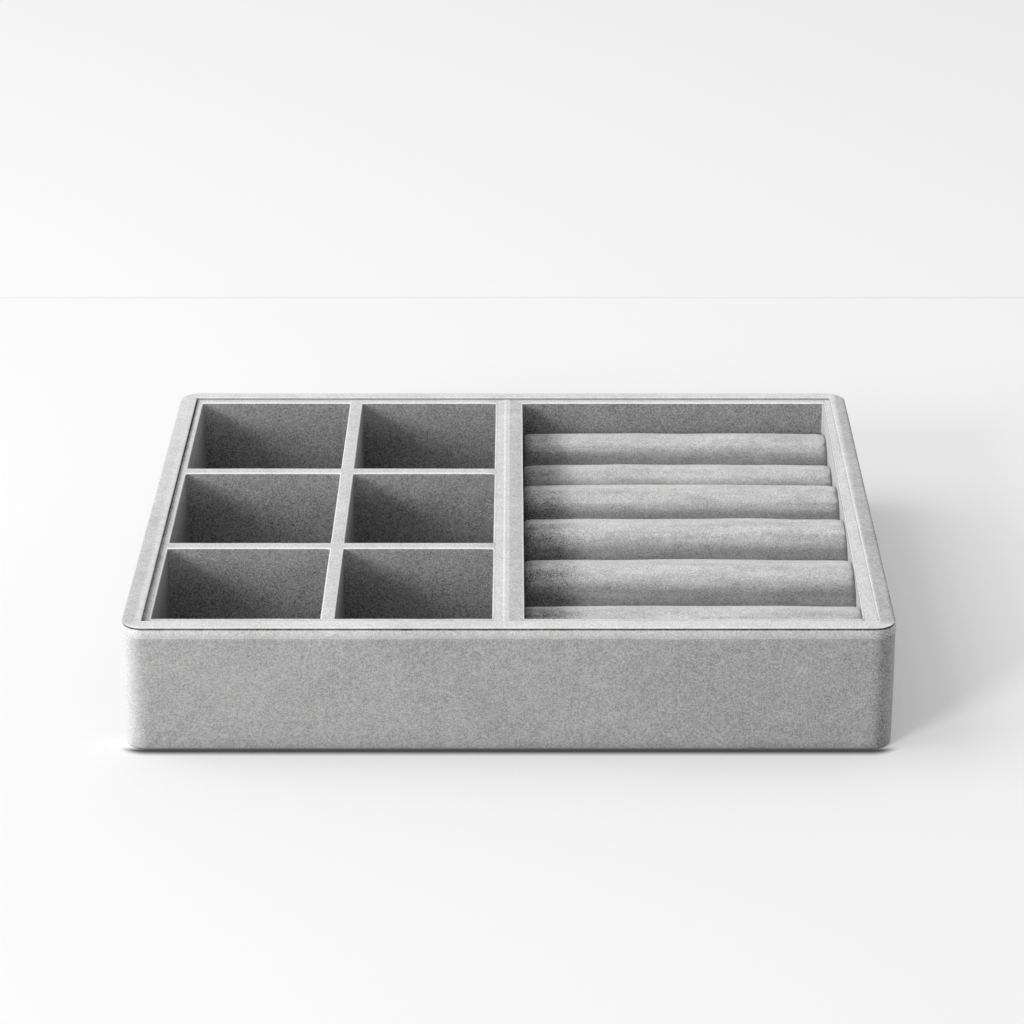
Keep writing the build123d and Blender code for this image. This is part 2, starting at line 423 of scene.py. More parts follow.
def make_fibre(name, tone, fleck_size, fleck_amount, roughness):
    """Pressed board or paper with flecks."""
    plain = {"Roughness": roughness, "Specular IOR Level": 0.25}
    material, tree, shader = start_material(name, plain)
    values = {"Tone": (*tone, 1.0), "Fleck Size": fleck_size, "Fleck Amount": fleck_amount}
    group = add(tree, "ShaderNodeGroup", values, node_tree=fibre_group).outputs
    fibre_bump = {"Strength": 0.4, "Distance": 0.1 * MM, "Height": group["Height"]}
    feed(tree, shader, {"Base Color": group["Color"], "Normal": add(tree, "ShaderNodeBump", fibre_bump)})
    return material


grey_board = make_fibre("grey_board", (0.3, 0.28, 0.25), 1.2 * MM, 0.9, 0.9)
underside_paper = make_fibre("underside_paper", (0.16, 0.16, 0.165), 0.8 * MM, 0.8, 0.75)
print("fibre materials:", grey_board.name, underside_paper.name)

# %% [markdown]
# ## From a mesh to a piece
# Every piece is a mesh with its place in its own points, as the CAD parts have. One helper turns a mesh
# into such a piece, gives it its material and its body, and hides the CAD parts it stands for. Two more
# lend a mesh to an object while modifiers work on it, and take back the plain result. The others close a
# mesh and turn its faces outwards, paint light and shade into its colour, and make a soft step between two
# values.


# %% Piece helpers
MERGE_WITHIN = 1e-6


def make_piece(name, mesh, material, body, slot, *nodes):
    """A finished piece that rides on a body and stands for CAD nodes."""
    mesh.name = name
    mesh.materials.clear()
    mesh.materials.append(material)
    mesh.shade_smooth()
    piece = bpy.data.objects.new(name, mesh)
    scene.collection.objects.link(piece)
    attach(piece, body)
    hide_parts(*nodes)
    print(name, len(mesh.polygons), "faces")
    return piece


def hold(mesh):
    """An object that holds a mesh while modifiers work on it."""
    holder = bpy.data.objects.new("holder", mesh)
    scene.collection.objects.link(holder)
    return holder


def take(holder):
    """The plain mesh that a holder's modifiers made; the holder goes."""
    evaluated = holder.evaluated_get(bpy.context.evaluated_depsgraph_get())
    mesh = bpy.data.meshes.new_from_object(evaluated)
    holder.modifiers.clear()
    bpy.data.objects.remove(holder)
    return mesh


def outward(mesh):
    """Merges doubles and turns every face outwards."""
    form = bmesh.new()
    form.from_mesh(mesh)
    bmesh.ops.remove_doubles(form, verts=form.verts, dist=MERGE_WITHIN)
    bmesh.ops.recalc_face_normals(form, faces=form.faces)
    form.to_mesh(mesh)
    form.free()
    return mesh


def brush(mesh, rule):
    """Paints light and shade into the colour at each point, by its place and its normal."""
    layer = mesh.attributes.new("painted_shading_and_tone", "FLOAT", "POINT")
    for vertex in mesh.vertices:
        layer.data[vertex.index].value = rule(vertex.co, vertex.normal)


def slope(value, start, finish):
    """A soft step from 0 at the start to 1 at the finish."""
    share = min(max((value - start) / (finish - start), 0.0), 1.0)
    return share * share * (3 - 2 * share)


print("piece helpers are ready; a slope's middle is", slope(0.5, 0.0, 1.0))

# %% [markdown]
# ## Bands that run round the case
# The side suede and the fuller rolled edge above it both follow the tray's rounded outline, so both are a
# profile swept along that path. In Geometry Nodes this is a rectangle whose corners are filleted, and
# Curve to Mesh. The profile is a small wire drawn as the outline of the cloth's own thickness, first down
# the outside and then back up the inside. A little noise along the surface gives the slight unevenness of
# stretched cloth.

# %% Sweep tree
sweep_tree, sweep_in = start_tree(
    "band_round_the_tray",
    "GeometryNodeTree",
    {
        "Profile": "Geometry",
        "Length": 0.25,
        "Depth": 0.21,
        "Corner Radius": 0.0075,
        "Step": 0.002,
        "Unevenness": 0.0001,
        "Wave Size": 0.02,
        "Suede": "Material",
    },
    {"Band": "Geometry"},
)


def end_tree(tree, shape, material, name):
    """Realize Instances and Set Material, which every tree ends in, and the tree's output."""
    realized = add(tree, "GeometryNodeRealizeInstances", {"Geometry": shape})
    painted = add(tree, "GeometryNodeSetMaterial", {"Geometry": realized, "Material": material})
    add(tree, "NodeGroupOutput", {name: painted})
    print(tree.name, "has", len(tree.nodes), "nodes")


sides = {"Width": sweep_in["Length"], "Height": sweep_in["Depth"]}
outline = add(sweep_tree, "GeometryNodeCurvePrimitiveQuadrilateral", sides)
rounding = {"Curve": outline, "Radius": sweep_in["Corner Radius"], "Count": 12}
corners = add(sweep_tree, "GeometryNodeFilletCurve", rounding, mode="POLY")
even_steps = {"Curve": corners, "Length": sweep_in["Step"]}
steps = add(sweep_tree, "GeometryNodeResampleCurve", even_steps, mode="LENGTH")
path = add(sweep_tree, "GeometryNodeSetCurveNormal", {"Curve": steps}, mode="Z_UP")
profile = add(sweep_tree, "GeometryNodeMeshToCurve", {"Mesh": sweep_in["Profile"]})
band = add(sweep_tree, "GeometryNodeCurveToMesh", {"Curve": path, "Profile Curve": profile})

wave_scale = calculate(sweep_tree, "DIVIDE", 1.0, sweep_in["Wave Size"])
band_place = add(sweep_tree, "GeometryNodeInputPosition")
wave_texture = {"Vector": band_place, "Scale": wave_scale, "Detail": 1.0}
waves = add(sweep_tree, "ShaderNodeTexNoise", wave_texture)
centred = calculate(sweep_tree, "SUBTRACT", waves, 0.5)
push_size = calculate(sweep_tree, "MULTIPLY", centred, sweep_in["Unevenness"])
outwards = {0: add(sweep_tree, "GeometryNodeInputNormal"), "Scale": push_size}
push = add(sweep_tree, "ShaderNodeVectorMath", outwards, operation="SCALE")
moved = add(sweep_tree, "GeometryNodeSetPosition", {"Geometry": band, "Offset": push})
end_tree(sweep_tree, moved, sweep_in["Suede"], "Band")

# %% [markdown]
# ## From a profile to a band
# A tree does nothing until a modifier on an object runs it. Each input is set by the identifier of its
# socket before the object is first evaluated, and the result is taken out as a plain mesh.


# %% Band helpers
def grow(tree, start, values):
    """The plain mesh that a Geometry Nodes tree makes of a start mesh and the values of its inputs."""
    holder = hold(start)
    modifier = holder.modifiers.new("tree", "NODES")
    modifier.node_group = tree
    for item in tree.interface.items_tree:
        if item.item_type == "SOCKET" and item.in_out == "INPUT" and item.name in values:
            modifier[item.identifier] = values[item.name]
    return take(holder)


rolled_low, rolled_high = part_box("rolled_edge")
TRAY_LENGTH = rolled_high.x - rolled_low.x
TRAY_DEPTH = rolled_high.y - rolled_low.y
CORNER_RADIUS = 7.5 * MM
BAND_STEP = 2.0 * MM


def sweep_band(points, waviness, wave_size, suede):
    """The band that a closed profile of insets and heights makes on its way round the tray."""
    wire = bpy.data.meshes.new("profile")
    edges = [(number, (number + 1) % len(points)) for number in range(len(points))]
    wire.from_pydata([(-inset, -height, 0.0) for inset, height in points], edges, [])
    values = {
        "Length": TRAY_LENGTH,
        "Depth": TRAY_DEPTH,
        "Corner Radius": CORNER_RADIUS,
        "Step": BAND_STEP,
        "Unevenness": waviness,
        "Wave Size": wave_size,
        "Suede": suede,
    }
    return outward(grow(sweep_tree, wire, values))


print("tray is", round(TRAY_LENGTH / MM, 1), "by", round(TRAY_DEPTH / MM, 1), "mm")

# %% [markdown]
# ## The side suede
# The suede is glued round the walls, pulled over the bottom edge and turned in under them. Its profile
# runs down the wall with a trace of padding in the middle, round the bottom edge, and back up inside.

# %% Side suede
wrap_low, wrap_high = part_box("outer_wrap")
wrap_inset = rolled_high.x - wrap_high.x
board_inset = rolled_high.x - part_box("right_wall_board")[1].x
BOTTOM_ROUNDING = 1.0 * MM
BOTTOM_SAG = 0.32 * MM
SIDE_ROWS = 14
SIDE_PADDING = 0.14 * MM
TUCK_DEPTH = 3.0 * MM
skin_back = board_inset - 0.04 * MM
skin = skin_back - wrap_inset
rounding_centre = (wrap_inset + BOTTOM_ROUNDING, wrap_low.z - BOTTOM_SAG + BOTTOM_ROUNDING)


def quarter(centre, radius, first, last, count):
    """Points on part of a circle, as inset and height, between two angles in degrees."""
    points = []
    for number in range(count + 1):
        angle = math.radians(first + (last - first) * number / count)
        points.append((centre[0] - radius * math.cos(angle), centre[1] + radius * math.sin(angle)))
    return points


top = wrap_high.z
down = [(skin_back, top + 0.2 * MM), (0.62 * MM, top + 0.1 * MM), (0.42 * MM, top - 0.1 * MM)]
side_high = top - 0.5 * MM
side_low = rounding_centre[1]
for number in range(SIDE_ROWS + 1):
    share = number / SIDE_ROWS
    height = side_high + (side_low - side_high) * share
    down.append((wrap_inset - SIDE_PADDING * math.sin(math.pi * share), height))
down += quarter(rounding_centre, BOTTOM_ROUNDING, 0, -90, 8)[1:]
tuck = (wrap_inset + TUCK_DEPTH, wrap_low.z)
back_up = [(rounding_centre[0] + 0.4 * MM, tuck[1]), tuck, (tuck[0], tuck[1] + skin)]
back_up += [(rounding_centre[0] + 0.3 * MM, tuck[1] + skin)]
back_up += quarter(rounding_centre, BOTTOM_ROUNDING - skin, -90, 0, 6)
back_up += [(skin_back, top * 0.5)]
side_mesh = sweep_band(down + back_up, 0.12 * MM, 22 * MM, side_suede)


def side_painted_shading(place_now, normal_now, lightest=1.1):
    """Painted light on the left front corner, painted shade towards the right one and at the foot."""
    near_front = slope(place_now.y, 12 * MM - TRAY_DEPTH / 2, 6 * MM - TRAY_DEPTH / 2)
    corner_shading = min((0.3 + 0.8 * near_front) * max(0.0, -normal_now.x), lightest)
    right = max(0.0, normal_now.x)
    corner_shading -= 0.25 * right
    corner_shading -= near_front * (0.24 * slope(right, 0.0, 0.45) - 0.3 * slope(right, 0.5, 0.8))
    along_front = 0.03 - 0.15 * near_front * (0.5 + place_now.x / TRAY_LENGTH)
    return corner_shading + along_front - 0.6 * slope(place_now.z, 0.55 * MM, 0.2 * MM)


brush(side_mesh, side_painted_shading)
make_piece("side_suede_wrap", side_mesh, side_suede, "case", "case_suede", "outer_wrap")

# %% [markdown]
# ## The rolled edge
# Above the side runs a fuller band, a strip of suede over a little padding, in a lighter suede that is
# painted light. It leans back towards the rim and tucks in at both seams, so a thin dark line shows above
# it and a faint one below, both deepened by painted shade. It is the same sweep with another profile,
# given here as inset and drop from the band's top.

# %% Rolled edge
band_points = [
    (board_inset - 0.05 * MM, -0.06),
    (0.92 * MM, -0.07),
    (0.74 * MM, -0.12),
    (0.6 * MM, -0.22),
    (0.48 * MM, -0.36),
    (0.35 * MM, -0.68),
    (0.21 * MM, -1.2),
    (0.08 * MM, -1.95),
    (0.02 * MM, -2.4),
    (0.03 * MM, -2.75),
    (0.12 * MM, -3.05),
    (0.28 * MM, -3.26),
    (0.55 * MM, -3.35),
    (board_inset - 0.05 * MM, -3.36),
]
band_profile = [(inset, rolled_high.z + drop * MM) for inset, drop in band_points]
edge_mesh = sweep_band(band_profile, 0.14 * MM, 14 * MM, edge_suede_painted_light)
EDGE_LIGHTEST = 0.3


def edge_painted_shading(place_now, normal_now):
    """As on the sides, less light at the left corner; painted shadow in the seam under the rim and at the
    foot.
    """
    seam_shadow = slope(place_now.z, rolled_high.z - 0.34 * MM, rolled_high.z - 0.14 * MM)
    foot_shade = slope(place_now.z, rolled_high.z - 1.5 * MM, rolled_high.z - 2.3 * MM)
    return side_painted_shading(place_now, normal_now, EDGE_LIGHTEST) - 0.8 * seam_shadow - 0.09 * foot_shade


brush(edge_mesh, edge_painted_shading)
make_piece("rolled_edge_band", edge_mesh, edge_suede_painted_light, "case", "case_suede", "rolled_edge")

# %% [markdown]
# ## The rim
# The rim is a thin frame of board under suede. Outside it follows the tray's round corners, and inside
# its corners are square, so a plain sweep would pinch. Here each line of the profile becomes a closed
# outline with its own corner radius, and the outlines are joined ring by ring. The frame isn't quite
# even: it is wider at the left, most of all in front, and narrower at the back, as the photograph shows.


# %% Rim outlines
RING_SPACING = 4 * MM
CORNER_STEPS = 8


def ring_outline(left, right, front, back, radius, height):
    """A rounded rectangle set in from the tray's outline; its count of points is always the same."""
    x_low, x_high = left - TRAY_LENGTH / 2, TRAY_LENGTH / 2 - right
    y_low, y_high = front - TRAY_DEPTH / 2, TRAY_DEPTH / 2 - back
    middles = (
        (x_high - radius, y_low + radius),
        (x_high - radius, y_high - radius),
        (x_low + radius, y_high - radius),
        (x_low + radius, y_low + radius),
    )
    counts = [round(TRAY_DEPTH / RING_SPACING), round(TRAY_LENGTH / RING_SPACING)] * 2
    points = []
    for number, (middle_x, middle_y) in enumerate(middles):
        for step in range(CORNER_STEPS):
            angle = math.radians(90 * (number - 1 + step / CORNER_STEPS))
            x, y = middle_x + radius * math.cos(angle), middle_y + radius * math.sin(angle)
            points.append((x, y, height))
        angle = math.radians(90 * number)
        reach = Vector((radius * math.cos(angle), radius * math.sin(angle), height))
        start = Vector((middle_x, middle_y, 0.0)) + reach
        finish = Vector((*middles[(number + 1) % 4], 0.0)) + reach
        for step in range(counts[number]):
            points.append(tuple(start.lerp(finish, step / counts[number])))
    return points


def join_rings(rings):
    """A closed mesh through rings of points, the last joined to the first."""
    count = len(rings[0])
    points = [point for ring in rings for point in ring]
    faces = []
    for row in range(len(rings)):
        here = row * count
        there = (row + 1) % len(rings) * count
        for step in range(count):
            turn = (step + 1) % count
            faces.append((here + step, here + turn, there + turn, there + step))
    mesh = bpy.data.meshes.new("rings")
    mesh.from_pydata(points, [], faces)
    return outward(mesh)


def unevenness(mesh, amount, size, seed):
    """Moves each point along its normal by a smooth noise."""
    shift = Vector((seed * 7.3, seed * 3.1, seed * 5.7))
    moves = []
    for vertex in mesh.vertices:
        wave = noise.noise(vertex.co / size + shift)
        moves.append(vertex.co + vertex.normal * amount * wave)
    for vertex, place_now in zip(mesh.vertices, moves):
        vertex.co = place_now


print("each ring has", len(ring_outline(0, 0, 0, 0, CORNER_RADIUS, 0)), "points")

# %% Rim
rim_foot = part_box("rim_trim")[0].z
rim_width = rolled_high.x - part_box("wall_lining")[1].x + 0.6 * MM
rim_lines = [
    (1.02, 0.35),
    (0.78, 0.36),
    (0.57, 0.4),
    (0.47, 0.48),
    (0.5, 0.56),
    (0.66, 0.65),
    (1.0, 0.71),
    (1.6, 0.77),
    (2.4, 0.8),
    (3.6, 0.8),
    (4.7, 0.8),
    (5.3, 0.78),
    (5.62, 0.74),
    (5.81, 0.62),
    (5.88, 0.4),
    (5.89, 0.02),
]
INNER_CORNER = 0.5 * MM
LEFT_EXTRA = 0.6 * MM
LEFT_FRONT_EXTRA = 0.3 * MM
BACK_LESS = 0.9 * MM
LEFT_SIDE_ENDS = 1.2
rings = []
for inset, rise in rim_lines:
    inset *= MM
    inward = inset / rim_width
    rings.append(
        ring_outline(
            inset + LEFT_EXTRA * inward,
            inset,
            inset,
            inset - BACK_LESS * inward,
            CORNER_RADIUS + (INNER_CORNER - CORNER_RADIUS) * inward,
            rim_foot + rise * MM,
        )
    )
rim_mesh = join_rings(rings)
unevenness(rim_mesh, 0.05 * MM, 16 * MM, 1)
for vertex in rim_mesh.vertices:
    inward = (vertex.co.x + TRAY_LENGTH / 2) / rim_width
    if inward < LEFT_SIDE_ENDS:
        vertex.co.x += LEFT_FRONT_EXTRA * inward * (0.5 - vertex.co.y / TRAY_DEPTH)


def rim_painted_shading(place_now, normal_now):
    """Painted shade on the rim's outer part at the right, less at the left, and on its outer edge; none in
    front.
    """
    from_right = TRAY_LENGTH / 2 - place_now.x
    from_left = TRAY_LENGTH / 2 + place_now.x
    backwards = 0.5 + place_now.y / TRAY_DEPTH
    behind_front = slope(place_now.y, 1.5 * MM - TRAY_DEPTH / 2, 6 * MM - TRAY_DEPTH / 2)
    step_at = (5.5 - 1.2 * backwards) * MM
    right = -0.36 * slope(from_right, step_at + 0.5 * MM, step_at - 0.5 * MM)
    left = -0.28 * (1 - backwards) * slope(from_left, 5.5 * MM, 4 * MM)
    edge = max(
        slope(from_right, 1.15 * MM, 0.8 * MM),
        slope(place_now.y, TRAY_DEPTH / 2 - 0.9 * MM, TRAY_DEPTH / 2 - 0.5 * MM),
    )
    return max(right + left - 0.42 * edge, -0.8) * behind_front


brush(rim_mesh, rim_painted_shading)
make_piece("rim_band", rim_mesh, rim_suede, "case", "case_suede", "rim_trim")

# %% [markdown]
# ## The insert's suede
# The insert is a grid of boards with suede folded over every one. Tops and walls are one soft surface, so
# it is one mesh: a plate laid out on lines through every edge, walls let down at each opening and
# outside, and a Bevel modifier that rounds the folds. Solidify gives the suede its thickness. The CAD
# parts give every line, and the cover reaches a little past or short of its board where the photograph
# shows it so.

# %% Insert plan
frame_low, frame_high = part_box("frame_cover")
long_low, long_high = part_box("long_divider_cover")
wide_left_low, wide_left_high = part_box("main_divider_cover_left")
wide_right_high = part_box("main_divider_cover_right")[1]
cross_front_low, cross_front_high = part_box("cross_cover_front_left")
cross_back_low, cross_back_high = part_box("cross_cover_back_left")
opening_left = cross_front_low.x
opening_front = long_low.y
opening_back = long_high.y
opening_right = frame_high.x - (opening_left - frame_low.x)
cover_left = frame_low.x + 0.4 * MM
cover_right = frame_high.x + 0.18 * MM
cover_front = frame_low.y
cover_back = frame_high.y + 0.5 * MM
seam_x = wide_left_high.x
floor_z = long_low.z
top_z = frame_high.z
columns = [(opening_left, long_low.x), (long_high.x, wide_left_low.x)]
rows = [
    (opening_front, cross_front_low.y),
    (cross_front_high.y, cross_back_low.y),
    (cross_back_high.y, opening_back),
]
openings = [(x0, x1, y0, y1) for x0, x1 in columns for y0, y1 in rows]
openings.append((wide_right_high.x, opening_right, opening_front, opening_back))
print(len(openings), "openings, seam at", round(seam_x * 1000, 2), "mm")


# %% Insert lines
def plan_lines(fixed, spacing, extra=()):
    """Lines through every fixed place, with more between them where they are far apart."""
    marks = sorted(set(round(v, 7) for v in [*fixed, *extra]))
    lines = []
    for low, high in zip(marks, marks[1:]):
        count = max(1, math.ceil((high - low) / spacing))
        lines += [low + (high - low) * step / count for step in range(count)]
    return [*lines, marks[-1]]


PLAN_SPACING = 5 * MM
CLOSE_LINES = (
    (seam_x, (-2.7, -2.3, -2.0, -1.75, -1.5, -1.25, -1.0, -0.7, -0.4, -0.1, 0.1, 0.5, 1.0)),
    (cover_left, (0.7, 1.0, 1.3, 1.6)),
    (wide_left_low.x, (0.6, 1.1)),
    (opening_right, (-0.7, 0.6)),
)
xs = plan_lines(
    [cover_left, cover_right, *[v for o in openings for v in o[:2]]],
    PLAN_SPACING,
    [start + step * MM for start, steps_there in CLOSE_LINES for step in steps_there],
)
ys = plan_lines([cover_front, cover_back, *[v for o in openings for v in o[2:]]], PLAN_SPACING)
print("the plan has", len(xs), "by", len(ys), "lines")

# %% Insert form
form = bmesh.new()
known = {}
WALL_ROW = 4.5 * MM
FIRST_ROW = 1.0 * MM
wall_foot = floor_z + 0.02 * MM
skirt_foot = frame_low.z + 0.02 * MM


def corner(x, y, z):
    """The vertex at a place, made once."""
    key = (round(x, 7), round(y, 7), round(z, 7))
    if key not in known:
        known[key] = form.verts.new(key)
    return known[key]


def solid_cell(column, row):
    """Whether a cell of the plan is suede over board rather than an opening; None outside the plan."""
    if not (0 <= column < len(xs) - 1 and 0 <= row < len(ys) - 1):
        return None
    x, y = (xs[column] + xs[column + 1]) / 2, (ys[row] + ys[row + 1]) / 2
    return not any(x0 < x < x1 and y0 < y < y1 for x0, x1, y0, y1 in openings)


def let_down(x0, y0, x1, y1, foot):
    """A wall under one edge of the plan, from the top down to its foot; its first row is low."""
    depth = top_z - foot - FIRST_ROW
    count = round(depth / WALL_ROW)
    levels = [top_z, *[top_z - FIRST_ROW - depth * step / count for step in range(count + 1)]]
    for high, low in zip(levels, levels[1:]):
        form.faces.new(
            (corner(x0, y0, high), corner(x0, y0, low), corner(x1, y1, low), corner(x1, y1, high))
        )


for column in range(len(xs) - 1):
    for row in range(len(ys) - 1):
        if not solid_cell(column, row):
            continue
        x0, x1, y0, y1 = xs[column], xs[column + 1], ys[row], ys[row + 1]
        form.faces.new(
            (corner(x0, y0, top_z), corner(x1, y0, top_z), corner(x1, y1, top_z), corner(x0, y1, top_z))
        )
        for beside, edge in (
            (solid_cell(column - 1, row), (x0, y1, x0, y0)),
            (solid_cell(column + 1, row), (x1, y0, x1, y1)),
            (solid_cell(column, row - 1), (x0, y0, x1, y0)),
            (solid_cell(column, row + 1), (x1, y1, x0, y1)),
        ):
            if beside is None:
                let_down(*edge, skirt_foot)
            elif not beside:
                let_down(*edge, wall_foot)
bmesh.ops.recalc_face_normals(form, faces=form.faces)
print("the insert's form has", len(form.faces), "faces")

# %% [markdown]
# ## Folds and thickness
# Suede folds tightly where it is pulled over the outer right edge, more softly at the front and back, and
# softest round the openings. One Bevel modifier makes all of them, because each edge's weight says what
# share of the full width it gets.

# %% Folds
RIGHT_FOLD = 0.12 * MM
END_FOLD = 0.4 * MM
OPENING_FOLD = 0.52 * MM
SHARP_FOLD = math.radians(60)
HAIR = 1e-5
SUEDE_THICKNESS = 0.45 * MM


def fold_at(middle):
    """How wide the suede folds at an edge: tighter outside than round the openings."""
    if cover_right - middle.x < HAIR:
        return RIGHT_FOLD
    if middle.y - cover_front < HAIR or cover_back - middle.y < HAIR:
        return END_FOLD
    return OPENING_FOLD


weights = form.edges.layers.float.new("bevel_weight_edge")
for edge in form.edges:
    if len(edge.link_faces) == 2 and edge.calc_face_angle() > SHARP_FOLD:
        edge[weights] = fold_at((edge.verts[0].co + edge.verts[1].co) / 2) / OPENING_FOLD
insert_form = bpy.data.meshes.new("insert_form")
form.to_mesh(insert_form)
form.free()

holder = hold(insert_form)
bevel = holder.modifiers.new("folds", "BEVEL")
bevel.limit_method = "WEIGHT"
bevel.width = OPENING_FOLD
bevel.segments = 4
bevel.use_clamp_overlap = False
solidify = holder.modifiers.new("suede", "SOLIDIFY")
solidify.thickness = SUEDE_THICKNESS
solidify.offset = -1.0
insert_mesh = take(holder)
print("the insert's suede has", len(insert_mesh.polygons), "faces")

# %% [markdown]
# ## Painted light and shade on the insert
# Light and shade are painted into the insert's suede. In the compartments painted shade darkens the walls
# downwards, most of all at their left. Painted light lies on the wall beside the right ends of the rolls,
# and painted shadow along the gap at the left and low at the left of the ring section's end walls. The
# tops are a little lighter on the wide divider's left cover and darker at its left fold and right of the
# seam. The outer sides stay plain.


# %% Insert nap
FOLD_REACH = 0.6 * MM
UNDER_FOLD = 0.7 * MM
CELL_DEPTH = 17 * MM
RING_CORNER = 10 * MM
# Painted shadow along the left gap, painted light on the wall beside the rolls' right ends, a lighter
# outer lip and less fold highlight on the inner lip at the right, and a darker cover right of the seam.
GAP_SHADOW = 0.88
LIGHT_BESIDE_ROLLS = 1.3
OUTER_LIP = 0.12
INNER_LIP = -0.3
SEAM_SIDE = -0.18


def inside(place_now, x_low, x_high):
    """Whether a place lies between two lines across the insert and between its front and back walls."""
    along = opening_front - FOLD_REACH < place_now.y < opening_back + FOLD_REACH
    return along and x_low < place_now.x < x_high


def in_cells(place_now):
    """Whether a place lies within the compartments' part of the insert, not on its outside."""
    return inside(place_now, opening_left - FOLD_REACH, wide_left_low.x + FOLD_REACH)


def on_ring_ends(place_now):
    """Whether a place lies on the front or back wall of the ring section, not on its outside."""
    return inside(place_now, wide_right_high.x + FOLD_REACH, opening_right - FOLD_REACH)


def cell_painted_shading(place_now, normal_now, below, forwards):
    """Painted light and shade on the compartments' walls: darker downwards, to the left and facing right.
    """
    left, right = columns[0] if place_now.x < columns[0][1] + FOLD_REACH else columns[1]
    across = min(max((place_now.x - left) / (right - left), 0.0), 1.0)
    deep = slope(below, 0.5 * MM, CELL_DEPTH) * (1 - 0.7 * across)
    right_facing_shade = 0.4 * forwards if normal_now.x > 0.5 else 0.0
    return 0.2 - 0.1 * across - 0.55 * deep - right_facing_shade


def wall_painted_shading(place_now, normal_now, below, forwards):
    """Below the tops: plain outside, and painted light or shade on the walls of each section."""
    if not inside(place_now, opening_left - FOLD_REACH, opening_right + FOLD_REACH):
        return 0.0
    if in_cells(place_now):
        return cell_painted_shading(place_now, normal_now, below, forwards)
    if place_now.x > opening_right - FOLD_REACH:
        return LIGHT_BESIDE_ROLLS
    at_left = slope(place_now.x, wide_right_high.x + RING_CORNER, wide_right_high.x)
    return -0.5 * at_left * slope(below, 1 * MM, 5 * MM)


def top_tone_and_painted_shading(place_now, forwards):
    """The tops, from the painted shadow at the left gap to the painted light on the lip right of the
    rolls.
    """
    if place_now.x < opening_left:
        start = cover_left + (0.1 + 0.6 * forwards) * MM
        width = (1.2 + 0.5 * forwards) * MM
        return GAP_SHADOW * slope(place_now.x, start, start + width) - GAP_SHADOW
    if place_now.x > opening_right + 0.57 * MM:
        return OUTER_LIP
    if place_now.x > opening_right - FOLD_REACH:
        return INNER_LIP
    if wide_left_low.x - 0.1 * MM < place_now.x < seam_x - 0.2 * MM:
        return 0.1 - 0.38 * slope(place_now.x, wide_left_low.x + 1.1 * MM, wide_left_low.x)
    if seam_x - 0.2 * MM < place_now.x < wide_right_high.x - 0.5 * MM:
        return SEAM_SIDE
    return 0.0


def insert_tone_and_painted_shading(place_now, normal_now):
    """Painted light and shade, and a little tone, over the whole insert."""
    below = top_z - place_now.z
    forwards = 0.5 - place_now.y / TRAY_DEPTH
    if below > UNDER_FOLD:
        return wall_painted_shading(place_now, normal_now, below, forwards)
    return top_tone_and_painted_shading(place_now, forwards)


brush(insert_mesh, insert_tone_and_painted_shading)
print("nap from", round(min(n.value for n in insert_mesh.attributes["painted_shading_and_tone"].data), 2))

# %% [markdown]
# ## Covers that stray
# Covers are glued on by hand. On the wide divider two of them meet in a seam, which a low ridge and a
# fine groove show, and both stray sideways, to the right in front and to the left at the back. The covers
# at the left gap and at the right of the rolls stray too. All of it is a small move of points by rule.


# %% Stray covers
def ridge(across):
    """Height of the soft ridge on the left cover and of the shallow seam, by distance from the seam."""
    width = 0.6 * MM if across < -1.5 * MM else 0.8 * MM
    swell_up = 0.21 * MM * math.exp(-(((across + 1.5 * MM) / width) ** 2))
    return swell_up - 0.05 * MM * math.exp(-((across / (0.2 * MM)) ** 2))


def divider_shift(x, y):
    """How far the hand-glued cover of the wide divider strays sideways, by the place on it."""
    share = (x - wide_left_low.x) / (wide_right_high.x - wide_left_low.x)
    backwards = min(max((y - opening_front) / (opening_back - opening_front), 0.0), 1.0)
    at_front = 0.15 + 0.7 * share
    at_back = -0.78 + 0.28 * share
    return (at_front + (at_back - at_front) * backwards) * MM


def right_shift(y, below):
    """How far the ring section's right cover strays: out at the back, in at the front, most at its top."""
    forwards = 0.5 - y / TRAY_DEPTH
    at_top = 0.4 - 2.5 * forwards
    lower = 0.4 - 1.1 * forwards
    return (at_top + (lower - at_top) * slope(below, 1 * MM, 7 * MM)) * MM


LEFT_FULLER = 0.6 * MM
RIDGE_REACH = 3.5 * MM
RIDGE_DEPTH = 1.0 * MM
EDGE_REACH = 0.8 * MM
for vertex in insert_mesh.vertices:
    across = vertex.co.x - seam_x
    if abs(across) < RIDGE_REACH and vertex.co.z > top_z - RIDGE_DEPTH:
        vertex.co.z += ridge(across)
    if wide_left_low.x - EDGE_REACH < vertex.co.x < wide_right_high.x + EDGE_REACH:
        vertex.co.x += divider_shift(vertex.co.x, vertex.co.y)
    forwards = 0.5 - vertex.co.y / TRAY_DEPTH
    if abs(vertex.co.x - opening_left) < EDGE_REACH:
        vertex.co.x += LEFT_FULLER * forwards
    if abs(vertex.co.x - opening_right) < EDGE_REACH:
        vertex.co.x += right_shift(vertex.co.y, top_z - vertex.co.z)
unevenness(insert_mesh, 0.06 * MM, 14 * MM, 2)
print("right lip strays", round(right_shift(opening_front, 0.0) / MM, 1), "mm in front")

# %% [markdown]
# ## The insert's piece
# Normals are kept sharp where suede turns more than the folds do, so flat walls stay evenly lit. The
# The walls of the compartments and the two end walls of the ring section get the darker suede, whose
# darker tone is painted shade.

